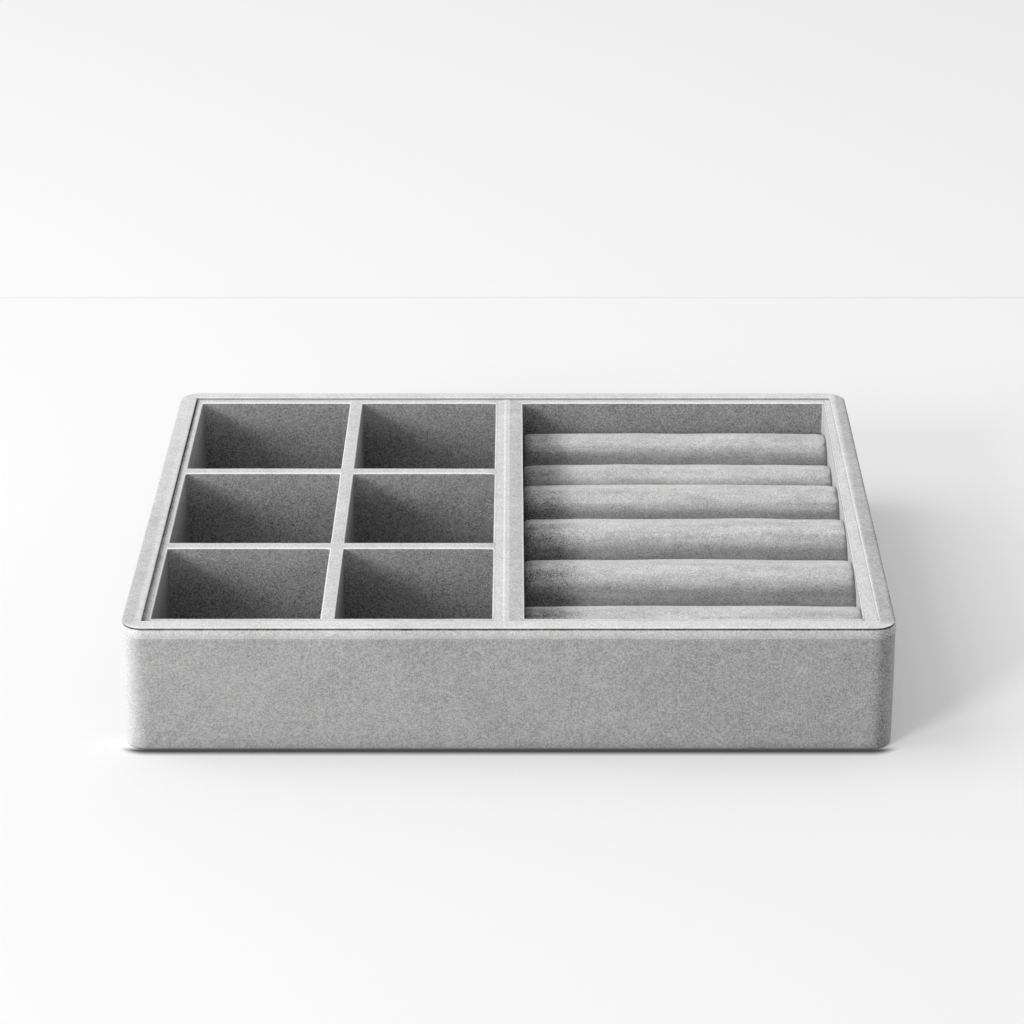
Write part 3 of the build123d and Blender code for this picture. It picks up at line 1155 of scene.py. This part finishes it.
# %% Insert piece
TURNS_SHARPLY = math.radians(50)
cover_nodes = [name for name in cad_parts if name.startswith("cross_cover")]
make_piece(
    "insert_suede_cover",
    insert_mesh,
    insert_suede,
    "insert",
    "insert_suede",
    "frame_cover",
    "long_divider_cover",
    "main_divider_cover_left",
    "main_divider_cover_right",
    *sorted(cover_nodes),
)
insert_mesh.set_sharp_from_angle(angle=TURNS_SHARPLY)
insert_mesh.materials.append(cell_suede_painted_shade)
for face in insert_mesh.polygons:
    dark = in_cells(face.center) or on_ring_ends(face.center)
    if face.center.z < top_z - UNDER_FOLD and dark:
        face.material_index = 1

# %% [markdown]
# ## Ring rolls
# Six rolls of foam in suede sleeves lie side by side, and rings are pushed into the grooves between them.
# All follow one rule: a crowned roll with rounded ends. A Geometry Nodes tree makes that form from its
# length, radius, crown and end rounding: a line from end to end, a radius that falls off along it, and a
# circle swept along the line.

# %% Roll tree
roll_tree, roll_in = start_tree(
    "ring_roll_form",
    "GeometryNodeTree",
    {
        "Start": "Geometry",
        "Length": 0.11,
        "Radius": 0.015,
        "Crown": 0.0005,
        "End Rounding": 0.004,
        "Suede": "Material",
    },
    {"Roll": "Geometry"},
)
half_length = calculate(roll_tree, "MULTIPLY", roll_in["Length"], 0.5)
left_x = calculate(roll_tree, "MULTIPLY", half_length, -1.0)
left_end = add(roll_tree, "ShaderNodeCombineXYZ", {"X": left_x})
right_end = add(roll_tree, "ShaderNodeCombineXYZ", {"X": half_length})
end_to_end = add(roll_tree, "GeometryNodeCurvePrimitiveLine", {"Start": left_end, "End": right_end})
axis_steps = {"Curve": end_to_end, "Count": 61}
axis = add(roll_tree, "GeometryNodeResampleCurve", axis_steps, mode="COUNT")

axis_place = add(roll_tree, "GeometryNodeInputPosition")
along = add(roll_tree, "ShaderNodeSeparateXYZ", {0: axis_place}).outputs["X"]
distance = calculate(roll_tree, "ABSOLUTE", along)
share = calculate(roll_tree, "DIVIDE", distance, half_length)
share_square = calculate(roll_tree, "POWER", share, 2.0)
crown_drop = calculate(roll_tree, "MULTIPLY", share_square, roll_in["Crown"])
rounding_start = calculate(roll_tree, "SUBTRACT", half_length, roll_in["End Rounding"])
past_start = calculate(roll_tree, "SUBTRACT", distance, rounding_start)
into_end = calculate(roll_tree, "MAXIMUM", past_start, 0.0)
rounding_square = calculate(roll_tree, "POWER", roll_in["End Rounding"], 2.0)
into_square = calculate(roll_tree, "POWER", into_end, 2.0)
square_left = calculate(roll_tree, "SUBTRACT", rounding_square, into_square)
kept_square = calculate(roll_tree, "MAXIMUM", square_left, 0.0)
kept_rounding = calculate(roll_tree, "SQRT", kept_square)
end_drop = calculate(roll_tree, "SUBTRACT", roll_in["End Rounding"], kept_rounding)
crowned = calculate(roll_tree, "SUBTRACT", roll_in["Radius"], crown_drop)
roll_radius = calculate(roll_tree, "SUBTRACT", crowned, end_drop)

sized = add(roll_tree, "GeometryNodeSetCurveRadius", {"Curve": axis, "Radius": roll_radius})
circle = add(roll_tree, "GeometryNodeCurvePrimitiveCircle", {"Resolution": 48, "Radius": 1.0})
radius_now = add(roll_tree, "GeometryNodeInputRadius")
swept = {"Curve": sized, "Profile Curve": circle, "Scale": radius_now, "Fill Caps": True}
rolled = add(roll_tree, "GeometryNodeCurveToMesh", swept)
end_tree(roll_tree, rolled, roll_in["Suede"], "Roll")

# %% [markdown]
# ## Foam in a sleeve
# Foam pushes its sleeve outwards, which takes away the look of turned wood. Remesh gives the roll an even
# skin that can stretch the same way everywhere. Cloth simulation with a little pressure inside swells it,
# with gravity off because the foam carries it. One subdivision smooths the result.

# %% Cloth helpers
SWELL_FRAMES = 20


def remesh(mesh, voxel):
    """An even skin of small squares over a closed form."""
    holder = hold(mesh)
    modifier = holder.modifiers.new("voxels", "REMESH")
    modifier.mode = "VOXEL"
    modifier.voxel_size = voxel
    return take(holder)


def swell(mesh, pressure, cap, pinned=None):
    """Fills a closed skin with a little air by cloth simulation; no point moves further than the cap."""
    holder = hold(mesh)
    if pinned:
        holder.vertex_groups.new(name="held").add(pinned, 1.0, "REPLACE")
    cloth = holder.modifiers.new("cloth", "CLOTH")
    settings = cloth.settings
    settings.quality = 5
    settings.mass = 0.3
    settings.use_pressure = True
    settings.uniform_pressure_force = pressure
    settings.effector_weights.gravity = 0.0
    if pinned:
        settings.vertex_group_mass = "held"
    cloth.point_cache.frame_start = 1
    cloth.point_cache.frame_end = SWELL_FRAMES
    for number in range(1, SWELL_FRAMES + 1):
        scene.frame_set(number)
    swollen = take(holder)
    for before, after in zip(mesh.vertices, swollen.vertices):
        move = after.co - before.co
        if move.length > cap:
            after.co = before.co + move.normalized() * cap
    scene.frame_set(1)
    return swollen


def subdivide(mesh):
    """One smooth subdivision of a finished skin."""
    holder = hold(mesh)
    modifier = holder.modifiers.new("smooth", "SUBSURF")
    modifier.levels = 1
    modifier.render_levels = 1
    return take(holder)


print("cloth runs for", SWELL_FRAMES, "frames, or not at all in a quick look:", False)

# %% [markdown]
# ## The six rolls
# Each sleeve's box says how long and how high its roll is. The swollen roll is brought to that height and
# a little over that length, gets the slight unevenness of foam, and is then pressed flat where it
# touches: at its sides, where it rests, and at both ends against the covers beside it, which stray.

# %% Rolls
SEAT_SHARE = 0.92
END_PRESS = 1.4 * MM
ROLL_CROWN = 0.4 * MM
ROLL_END_ROUNDING = 0.8 * MM
ROLL_SKIN = 1.7 * MM
ROLL_PRESSURE = 4.0
ROLL_SWELL_CAP = 1.2 * MM
ROLL_RISE = 0.2 * MM


def fit_roll(mesh, low, high, centre):
    """Brings a swollen roll to the sleeve's height, and a little over its length."""
    span_low = min(v.co.x for v in mesh.vertices) + END_PRESS
    span_high = max(v.co.x for v in mesh.vertices) - END_PRESS
    rise = max(v.co.z for v in mesh.vertices) - centre.z
    lengthen = (high.x - low.x) / (span_high - span_low)
    thicken = (high.z - centre.z) / rise
    for vertex in mesh.vertices:
        vertex.co.x = low.x + (vertex.co.x - span_low) * lengthen
        vertex.co.y = centre.y + (vertex.co.y - centre.y) * thicken
        vertex.co.z = centre.z + (vertex.co.z - centre.z) * thicken


def press_roll(mesh, low, high):
    """Presses a roll flat at its sides, where it rests, and at its ends against the covers there."""
    for vertex in mesh.vertices:
        vertex.co.y = min(max(vertex.co.y, low.y), high.y)
        vertex.co.z = min(max(vertex.co.z, low.z), high.z + ROLL_RISE)
        wall_x = low.x + divider_shift(wide_right_high.x, vertex.co.y)
        far_x = high.x + 0.2 * MM + right_shift(vertex.co.y, top_z - vertex.co.z)
        vertex.co.x = min(max(vertex.co.x, low.x, wall_x), far_x)


def roll_painted_shading(place_now, normal_now):
    """Painted shadow of the wide divider on the rolls' left ends, darkest on top next to it."""
    from_divider = place_now.x - wide_right_high.x
    forwards = 0.5 - place_now.y / TRAY_DEPTH
    on_top = max(normal_now.z, 0.0)
    wide = slope(from_divider, (19 + 6 * forwards) * MM, (6 + 5 * forwards) * MM)
    close = slope(from_divider, 4.5 * MM, 1 * MM)
    return -(0.45 + 0.15 * forwards) * (0.7 + 0.3 * on_top) * wide - 0.2 * on_top * close


for number in range(1, 7):
    sleeve, core = f"ring_roll_sleeve_{number}", f"ring_roll_core_{number}"
    low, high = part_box(sleeve)
    radius = (high.z - low.z) / (1 + SEAT_SHARE)
    centre = Vector(((low.x + high.x) / 2, (low.y + high.y) / 2, high.z - radius))
    sizes = {
        "Length": high.x - low.x,
        "Radius": radius,
        "Crown": ROLL_CROWN,
        "End Rounding": ROLL_END_ROUNDING,
        "Suede": roll_suede,
    }
    roll_mesh = grow(roll_tree, bpy.data.meshes.new("start"), sizes)
    for vertex in roll_mesh.vertices:
        vertex.co += centre
    roll_mesh = remesh(outward(roll_mesh), ROLL_SKIN)
    roll_mesh = subdivide(swell(roll_mesh, ROLL_PRESSURE, ROLL_SWELL_CAP))
    fit_roll(roll_mesh, low, high, centre)
    unevenness(roll_mesh, 0.3 * MM, 21 * MM, 10 + number)
    press_roll(roll_mesh, low, high)
    brush(roll_mesh, roll_painted_shading)
    roll = make_piece(
        f"ring_roll_{number}", roll_mesh, roll_suede, "insert", "roll_suede", sleeve, core
    )

# %% [markdown]
# ## Floor pads
# A thin padded leaf lies on the floor of each compartment. It starts as an even box grid with its
# underside held still, and the cloth simulation lifts its top into a shallow pillow.


# %% Pads
def box_grid(low, high, cell, corner_radius):
    """A closed box of even cells, its upright corners drawn in to a radius."""
    counts = [*[max(2, round((high[axis] - low[axis]) / cell)) for axis in range(2)], 2]
    lines = [
        [low[axis] + (high[axis] - low[axis]) * step / counts[axis] for step in range(counts[axis] + 1)]
        for axis in range(3)
    ]
    points = []
    faces = []
    for fixed in range(3):
        first, second = [axis for axis in range(3) if axis != fixed]
        stride = counts[second] + 1
        for value in (lines[fixed][0], lines[fixed][-1]):
            start = len(points)
            for a in lines[first]:
                for b in lines[second]:
                    point = [0.0, 0.0, 0.0]
                    point[fixed], point[first], point[second] = value, a, b
                    points.append(point)
            for i in range(counts[first]):
                for j in range(counts[second]):
                    base = start + i * stride + j
                    faces.append((base, base + 1, base + stride + 1, base + stride))
    mesh = bpy.data.meshes.new("box_grid")
    mesh.from_pydata(points, [], faces)
    outward(mesh)
    for vertex in mesh.vertices:
        for side_x, sign_x in ((low[0], 1), (high[0], -1)):
            for side_y, sign_y in ((low[1], 1), (high[1], -1)):
                dx = corner_radius - (vertex.co.x - side_x) * sign_x
                dy = corner_radius - (vertex.co.y - side_y) * sign_y
                if dx > 0 and dy > 0:
                    scale = max(dx, dy) / math.hypot(dx, dy)
                    vertex.co.x = side_x + sign_x * (corner_radius - dx * scale)
                    vertex.co.y = side_y + sign_y * (corner_radius - dy * scale)
    return mesh


PAD_CORNER = 2.5 * MM
PAD_CELL = 1.8 * MM
PAD_EASE_LOW = Vector((0.3, 0.3, 0.0)) * MM
PAD_EASE_HIGH = Vector((0.3, 0.3, 0.7)) * MM
PAD_PRESSURE = 3.0
PAD_SWELL_CAP = 0.9 * MM
PAD_RISE = 0.3 * MM
for row in ("front", "middle", "back"):
    for column in ("left", "right"):
        node_name = f"floor_pad_{row}_{column}"
        low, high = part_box(node_name)
        pad_mesh = box_grid(low + PAD_EASE_LOW, high - PAD_EASE_HIGH, PAD_CELL, PAD_CORNER)
        underside = [v.index for v in pad_mesh.vertices if v.co.z < low.z + HAIR]
        pad_mesh = subdivide(swell(pad_mesh, PAD_PRESSURE, PAD_SWELL_CAP, underside))
        for vertex in pad_mesh.vertices:
            vertex.co.z = min(max(vertex.co.z, low.z), high.z + PAD_RISE)
        pad = make_piece(
            f"soft_pad_{row}_{column}", pad_mesh, pad_suede, "insert", "pad_suede", node_name
        )

# %% [markdown]
# ## The parts that keep their CAD shape
# Boards, linings and the sheet under the tray are right as they are, and only take a material.

# %% Materials of the CAD parts
LININGS = ("wall_lining", "floor_lining", "insert_floor_lining")
for name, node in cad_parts.items():
    if node.hide_render:
        continue
    finish = underside_paper if name == "base_cover" else grey_board
    if name in LININGS:
        finish = lining_suede
    node.data.materials.clear()
    node.data.materials.append(finish)
    print(name, "is", finish.name)

# %% [markdown]
# ## The floor
# The tray stands on a plain pale table, painted a little lighter towards the back, which is painted light.
# Some way behind it the table meets a wall of nearly the same white, and only a thin line shows. A real
# wall would hide the tray from behind, so the wall is a change of tone in the same flat sheet, with the
# thin line drawn where the two meet. Where the tray's front meets the table a thin contact shadow is
# painted into the table. It follows the tray's rounded outline, so it is worked out from the distance to
# that outline, and kept to the front.

# %% Floor
FLOOR_HALF = 3.0
FLOOR_DROP = 0.0001
WALL_LINE = 0.3368
LINE_SPAN = 0.02
LINE_TONE = (0.89, 0.89, 0.89, 1.0)
CONTACT_SHADOW_TONE = 0.1

floor_mesh = bpy.data.meshes.new("studio_floor")
round_the_floor = ((-1, -1), (1, -1), (1, 1), (-1, 1))
floor_corners = [(x * FLOOR_HALF, y * FLOOR_HALF, -FLOOR_DROP) for x, y in round_the_floor]
floor_mesh.from_pydata(floor_corners, [], [(0, 1, 2, 3)])
floor = bpy.data.objects.new("studio_floor", floor_mesh)
scene.collection.objects.link(floor)
floor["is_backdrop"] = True

dull = {"Roughness": 0.9, "Specular IOR Level": 0.0}
floor_material, floor_tree, floor_shader = start_material("studio_floor", dull)
floor_place = add(floor_tree, "ShaderNodeTexCoord").outputs["Object"]
floor_parts = add(floor_tree, "ShaderNodeSeparateXYZ", {0: floor_place}).outputs
behind_line = calculate(floor_tree, "SUBTRACT", floor_parts["Y"], WALL_LINE)
from_line = calculate(floor_tree, "MULTIPLY_ADD", behind_line, 1 / LINE_SPAN, 0.5)
tones = add(floor_tree, "ShaderNodeValToRGB", {"Fac": from_line})
before_line, after_line = tones.color_ramp.elements
before_line.position = 0.44
before_line.color = WHITE
after_line.position = 0.6
after_line.color = WHITE
tones.color_ramp.elements.new(0.5).color = LINE_TONE
# Painted light: the table is a little lighter towards the back.
table_painted_light = soft_step(floor_tree, floor_parts["Y"], -0.2, 0.2, 0.945, 0.995)


def beyond(axis, half_size):
    """How far a place lies beyond the straight part of the tray's outline along one axis, squared."""
    along_axis = calculate(floor_tree, "ABSOLUTE", floor_parts[axis])
    outside = calculate(floor_tree, "SUBTRACT", along_axis, half_size - CORNER_RADIUS)
    return calculate(floor_tree, "POWER", calculate(floor_tree, "MAXIMUM", outside, 0.0), 2.0)


# Painted contact shadow: the table darkens close to the tray's front, by the distance to its outline.
square = calculate(floor_tree, "ADD", beyond("X", TRAY_LENGTH / 2), beyond("Y", TRAY_DEPTH / 2))
reach = calculate(floor_tree, "SQRT", square)
from_tray = calculate(floor_tree, "SUBTRACT", reach, CORNER_RADIUS)
painted_contact_shadow = soft_step(floor_tree, from_tray, 0.2 * MM, 4.2 * MM, CONTACT_SHADOW_TONE, 1.0)
in_front = soft_step(floor_tree, floor_parts["Y"], 3 * MM - TRAY_DEPTH / 2, -TRAY_DEPTH / 2)
darker = calculate(floor_tree, "SUBTRACT", 1.0, painted_contact_shadow)
darker_in_front = calculate(floor_tree, "MULTIPLY", darker, in_front)
kept = calculate(floor_tree, "SUBTRACT", 1.0, darker_in_front)
brightness = calculate(floor_tree, "MULTIPLY", table_painted_light, kept)
toned_floor = {0: tones, "Scale": brightness}
floor_tone = add(floor_tree, "ShaderNodeVectorMath", toned_floor, operation="SCALE")
feed(floor_tree, floor_shader, {"Base Color": floor_tone})
floor_mesh.materials.append(floor_material)
print("floor material has", len(floor_tree.nodes), "nodes")

# %% [markdown]
# ## The size of the dressed tray
# The dressed tray has to keep the CAD model's size, so the box of everything it shows is printed.

# %% Size of the dressed tray
low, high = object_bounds()
print("visual box", [round(v * 1000, 2) for v in low], [round(v * 1000, 2) for v in high])
